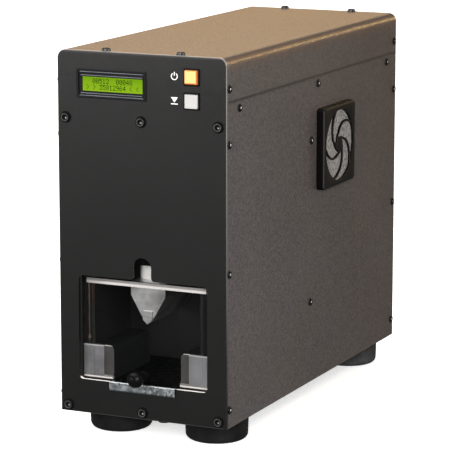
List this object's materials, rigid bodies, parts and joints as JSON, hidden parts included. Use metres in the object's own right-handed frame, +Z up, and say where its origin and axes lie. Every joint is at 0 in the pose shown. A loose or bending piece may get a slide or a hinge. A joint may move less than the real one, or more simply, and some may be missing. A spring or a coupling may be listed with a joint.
{
  "type": "hard drive crusher",
  "caption": "Upright desktop crusher: steel cabinet on rubber feet, framed display and push buttons over an opening where a screw-driven wedge bends a drive behind a sliding clear door.",
  "frame": {"origin": "middle of the outline on the floor the feet stand on", "axes": "+Z up; the front panel faces -Y; the side fan is on +X"},
  "size_m": [0.2816, 0.6889, 0.5726],
  "materials": {
    "front_black": "satin",
    "cover_paint": "textured powder coat",
    "side_paint": "textured powder coat",
    "frame_paint": "satin",
    "foot_rubber": "matte",
    "black_screws": "black oxide",
    "press_steel": "ground",
    "bright_steel": "brushed",
    "dark_steel": "black oxide",
    "black_steel": "satin",
    "bronze": "turned",
    "tool_steel": "ground",
    "motor_paint": "satin",
    "gear_steel": "machined",
    "ram_chrome": "hard chrome",
    "wedge_steel": "ground",
    "clear_door": "clear",
    "knob_black": "polished",
    "black_plastic": "moulded",
    "zinc_sheet": "zinc plated",
    "bezel_black": "moulded",
    "display_green": "lit",
    "button_frame": "moulded",
    "amber_lens": "translucent",
    "white_lens": "translucent",
    "guard_plastic": "moulded",
    "filter_foam": "open foam",
    "board_green": "solder mask"
  },
  "bodies": {
    "chassis": {"anvils": "dark_steel", "base_plate": "frame_paint", "button_housings": "button_frame", "chamber_liners": "bright_steel", "control_board": "board_green", "cover_screws": "black_screws", "cross_bar": "bright_steel", "crown_plate": "press_steel", "display_bezel": "bezel_black", "display_module": "display_green", "door_tracks": "black_plastic", "drive_motor": "motor_paint", "fan_filter": "filter_foam", "fan_frame": "black_plastic", "fan_guard": "guard_plastic", "foot_bolts": "black_screws", "frame_posts": "frame_paint", "frame_rails": "frame_paint", "front_panel": "front_black", "front_screws": "black_screws", "fuse_holder": "black_plastic", "guide_bush": "bronze", "guide_plate": "press_steel", "idler_pin": "tool_steel", "left_side_panel": "side_paint", "power_inlet": "black_plastic", "power_supply": "bright_steel", "power_switch_housing": "black_plastic", "press_bed": "press_steel", "press_bolts": "black_screws", "press_side_plates": "press_steel", "ram_key": "tool_steel", "rear_columns": "press_steel", "rear_panel": "side_paint", "right_side_panel": "side_paint", "rubber_feet": "foot_rubber", "screw_bearings": "bronze", "support_plates": "bright_steel", "top_cover": "cover_paint", "upper_guard_plate": "black_steel"},
    "door": {"door_sheet": "clear_door", "knob_stud": "tool_steel", "door_knob": "knob_black"},
    "tray": {"debris_tray": "zinc_sheet"},
    "ram": {"ram_tube": "ram_chrome", "ram_nut": "bronze", "crush_wedge": "wedge_steel", "wedge_tip": "tool_steel"},
    "screw": {"power_screw": "tool_steel", "screw_gear": "gear_steel", "gear_fixings": "tool_steel"},
    "idler": {"idler_gear": "gear_steel", "idler_bush": "bronze"},
    "motor_output": {"motor_pinion": "gear_steel", "motor_shaft": "tool_steel"},
    "fan": {"fan_rotor": "black_plastic"},
    "power_button": {"power_button": "amber_lens"},
    "start_button": {"start_button": "white_lens"},
    "power_rocker": {"power_rocker": "knob_black"}
  },
  "joints": [
    {"name": "screw_spin", "type": "hinge", "parent": "chassis", "child": "screw", "pos_m": [-0.005, -0.2365, 0.48], "axis": [0, 0, 1], "range_deg": [-1800, 2160]},
    {"name": "ram_slide", "type": "slide", "parent": "chassis", "child": "ram", "axis": [0, 0, 1], "range_m": [-0.0602, 0.0502]},
    {"name": "idler_spin", "type": "hinge", "parent": "chassis", "child": "idler", "pos_m": [-0.005, -0.1265, 0.48], "axis": [0, 0, 1], "range_deg": [-1810, 1510]},
    {"name": "motor_spin", "type": "hinge", "parent": "chassis", "child": "motor_output", "pos_m": [-0.005, -0.0465, 0.48], "axis": [0, 0, 1], "range_deg": [-4510, 5410]},
    {"name": "door_slide", "type": "slide", "parent": "chassis", "child": "door", "axis": [0, 0, 1], "range_m": [0, 0.158]},
    {"name": "tray_slide", "type": "slide", "parent": "chassis", "child": "tray", "axis": [0, -1, 0], "range_m": [0, 0.108]},
    {"name": "fan_spin", "type": "hinge", "parent": "chassis", "child": "fan", "pos_m": [0.114, 0.0755, 0.3935], "axis": [1, 0, 0], "continuous": true},
    {"name": "power_button_press", "type": "slide", "parent": "chassis", "child": "power_button", "axis": [0, 1, 0], "range_m": [0, 0.003], "stiffness_N_per_m": 400},
    {"name": "start_button_press", "type": "slide", "parent": "chassis", "child": "start_button", "axis": [0, 1, 0], "range_m": [0, 0.003], "stiffness_N_per_m": 400},
    {"name": "power_rocker_tip", "type": "hinge", "parent": "chassis", "child": "power_rocker", "pos_m": [-0.049, 0.3385, 0.084], "axis": [0, 0, 1], "range_deg": [-18, 0]}
  ],
  "couplings": [
    {"joint": "ram_slide", "follows": "screw_spin", "m_per_rad": -0.0015915},
    {"joint": "idler_spin", "follows": "screw_spin", "ratio": -0.83333},
    {"joint": "motor_spin", "follows": "screw_spin", "ratio": 2.5}
  ]
}
